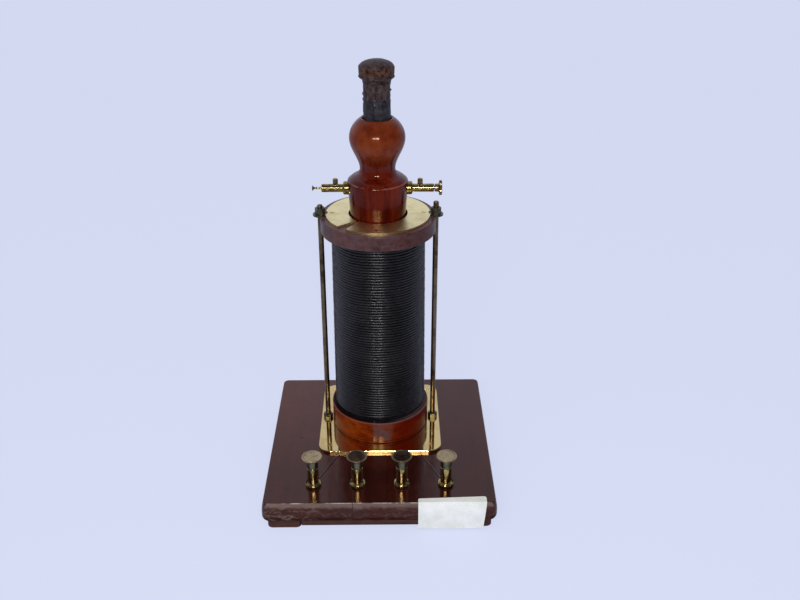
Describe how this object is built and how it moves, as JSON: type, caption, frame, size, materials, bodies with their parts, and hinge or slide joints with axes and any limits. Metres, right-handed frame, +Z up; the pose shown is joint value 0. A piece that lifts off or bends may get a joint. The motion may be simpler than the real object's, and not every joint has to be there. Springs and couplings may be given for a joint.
{
  "type": "induction coil",
  "caption": "Demonstration induction coil: an upright wound coil clamped by tie rods on a square wooden base, with a lift-out inner coil, iron core and binding posts.",
  "frame": {"origin": "middle of the base on the surface that the feet stand on", "axes": "+Z up along the coil, -Y towards the front with the binding posts, +X to the right"},
  "size_m": [0.215, 0.212, 0.3977],
  "materials": {
    "base_mahogany": "dark mahogany under thick, slightly crazed shellac",
    "dark_wood": "stained mahogany, matt on its cut faces",
    "screw_brass": "turned brass, slotted",
    "plate_brass": "polished brass with light stains",
    "flange_red": "orange-red varnished wood, worn on its upper rim",
    "tube_board": "shellacked pasteboard",
    "covered_wire": "black varnished, silk-covered copper wire",
    "flange_mahogany": "purple-brown mahogany under varnish",
    "split_brass": "pale lacquered brass",
    "rod_bronze": "browned brass rod",
    "nut_brass": "dark oxidised brass",
    "lead_wire": "tinned copper wire",
    "post_brass": "lacquered brass, worn bright",
    "sleeve_bronze": "dull grey-green brass",
    "cap_brass": "dull brass with brown stains",
    "head_wood": "turned red-brown mahogany under gloss varnish",
    "terminal_brass": "lacquered brass, bright",
    "knob_brass": "oxidised brass, handled bright on its edges",
    "knob_ebonite": "black ebonite, mottled by wear",
    "iron_wire": "annealed iron wire",
    "black_tape": "black varnished cloth tape"
  },
  "bodies": {
    "stand": {"base_board": "base_mahogany", "base_feet": "dark_wood", "bottom_cover": "dark_wood", "foot_screws": "screw_brass", "cover_screws": "screw_brass", "base_plate_screws": "screw_brass", "split_plate_screws": "screw_brass", "base_plate": "plate_brass", "lower_flange": "flange_red", "outer_tube": "tube_board", "outer_winding_core": "covered_wire", "outer_winding": "covered_wire", "upper_flange": "flange_mahogany", "split_plate": "split_brass", "tie_rod_left": "rod_bronze", "tie_rod_right": "rod_bronze", "rod_washers": "nut_brass", "rod_top_nuts": "nut_brass", "rod_foot_nuts": "nut_brass", "rod_bottom_nuts": "nut_brass", "post_nuts": "nut_brass", "front_leads": "lead_wire", "under_leads": "lead_wire", "post_1_body": "post_brass", "post_2_body": "post_brass", "post_3_body": "post_brass", "post_4_body": "post_brass"},
    "post_1_sleeve": {"post_1_sleeve": "sleeve_bronze"},
    "post_1_head": {"post_1_head": "cap_brass"},
    "post_2_sleeve": {"post_2_sleeve": "sleeve_bronze"},
    "post_2_head": {"post_2_head": "cap_brass"},
    "post_3_sleeve": {"post_3_sleeve": "sleeve_bronze"},
    "post_3_head": {"post_3_head": "cap_brass"},
    "post_4_sleeve": {"post_4_sleeve": "sleeve_bronze"},
    "post_4_head": {"post_4_head": "cap_brass"},
    "inner_coil": {"coil_head": "head_wood", "inner_tube": "tube_board", "inner_winding": "covered_wire", "inner_end_disc": "head_wood", "terminal_left": "terminal_brass", "terminal_right": "terminal_brass", "head_screws": "screw_brass"},
    "core": {"core_knob": "knob_ebonite", "core_wires": "iron_wire", "core_tape": "black_tape"},
    "set_left_stem": {"set_screw_left_stem": "terminal_brass"},
    "set_left_head": {"set_screw_left_head": "knob_brass"},
    "set_right_stem": {"set_screw_right_stem": "terminal_brass"},
    "set_right_head": {"set_screw_right_head": "knob_brass"},
    "end_left_stem": {"end_screw_left_stem": "terminal_brass"},
    "end_left_head": {"end_screw_left_head": "knob_brass"},
    "end_right_stem": {"end_screw_right_stem": "terminal_brass"},
    "end_right_head": {"end_screw_right_knob": "knob_brass"}
  },
  "joints": [
    {"name": "post_1_travel", "type": "slide", "parent": "stand", "child": "post_1_sleeve", "axis": [0, 0, 1], "range_m": [0, 0.005]},
    {"name": "post_1_turn", "type": "hinge", "parent": "post_1_sleeve", "child": "post_1_head", "pos_m": [-0.06135, -0.078, 0.0585], "axis": [0, 0, 1], "range_deg": [0, 1800]},
    {"name": "post_2_travel", "type": "slide", "parent": "stand", "child": "post_2_sleeve", "axis": [0, 0, 1], "range_m": [0, 0.005]},
    {"name": "post_2_turn", "type": "hinge", "parent": "post_2_sleeve", "child": "post_2_head", "pos_m": [-0.02045, -0.078, 0.0585], "axis": [0, 0, 1], "range_deg": [0, 1800]},
    {"name": "post_3_travel", "type": "slide", "parent": "stand", "child": "post_3_sleeve", "axis": [0, 0, 1], "range_m": [0, 0.005]},
    {"name": "post_3_turn", "type": "hinge", "parent": "post_3_sleeve", "child": "post_3_head", "pos_m": [0.02045, -0.078, 0.0585], "axis": [0, 0, 1], "range_deg": [0, 1800]},
    {"name": "post_4_travel", "type": "slide", "parent": "stand", "child": "post_4_sleeve", "axis": [0, 0, 1], "range_m": [0, 0.005]},
    {"name": "post_4_turn", "type": "hinge", "parent": "post_4_sleeve", "child": "post_4_head", "pos_m": [0.06135, -0.078, 0.0585], "axis": [0, 0, 1], "range_deg": [0, 1800]},
    {"name": "inner_coil_lift", "type": "slide", "parent": "stand", "child": "inner_coil", "axis": [0, 0, 1], "range_m": [0, 0.235]},
    {"name": "core_lift", "type": "slide", "parent": "inner_coil", "child": "core", "axis": [0, 0, 1], "range_m": [0, 0.32]},
    {"name": "set_left_travel", "type": "slide", "parent": "inner_coil", "child": "set_left_stem", "axis": [0, 0, 1], "range_m": [-0.00075, 0.003]},
    {"name": "set_left_turn", "type": "hinge", "parent": "set_left_stem", "child": "set_left_head", "pos_m": [-0.0383, 0.0295, 0.2856], "axis": [0, 0, 1], "range_deg": [-360, 1440]},
    {"name": "set_right_travel", "type": "slide", "parent": "inner_coil", "child": "set_right_stem", "axis": [0, 0, 1], "range_m": [-0.00075, 0.003]},
    {"name": "set_right_turn", "type": "hinge", "parent": "set_right_stem", "child": "set_right_head", "pos_m": [0.0383, 0.0295, 0.2856], "axis": [0, 0, 1], "range_deg": [-360, 1440]},
    {"name": "end_left_travel", "type": "slide", "parent": "inner_coil", "child": "end_left_stem", "axis": [-1, 0, 0], "range_m": [-0.0021, 0.0014]},
    {"name": "end_left_turn", "type": "hinge", "parent": "end_left_stem", "child": "end_left_head", "pos_m": [-0.058, 0.0295, 0.2816], "axis": [-1, 0, 0], "range_deg": [-1080, 720]},
    {"name": "end_right_travel", "type": "slide", "parent": "inner_coil", "child": "end_right_stem", "axis": [1, 0, 0], "range_m": [-0.00038, 0.003]},
    {"name": "end_right_turn", "type": "hinge", "parent": "end_right_stem", "child": "end_right_head", "pos_m": [0.054, 0.0295, 0.2816], "axis": [1, 0, 0], "range_deg": [-180, 1440]}
  ],
  "couplings": [
    {"joint": "post_1_turn", "follows": "post_1_travel", "rad_per_m": 6283.2},
    {"joint": "post_2_turn", "follows": "post_2_travel", "rad_per_m": 6283.2},
    {"joint": "post_3_turn", "follows": "post_3_travel", "rad_per_m": 6283.2},
    {"joint": "post_4_turn", "follows": "post_4_travel", "rad_per_m": 6283.2},
    {"joint": "set_left_turn", "follows": "set_left_travel", "rad_per_m": 8377.6},
    {"joint": "set_right_turn", "follows": "set_right_travel", "rad_per_m": 8377.6},
    {"joint": "end_left_turn", "follows": "end_left_travel", "rad_per_m": 8976},
    {"joint": "end_right_turn", "follows": "end_right_travel", "rad_per_m": 8377.6}
  ]
}
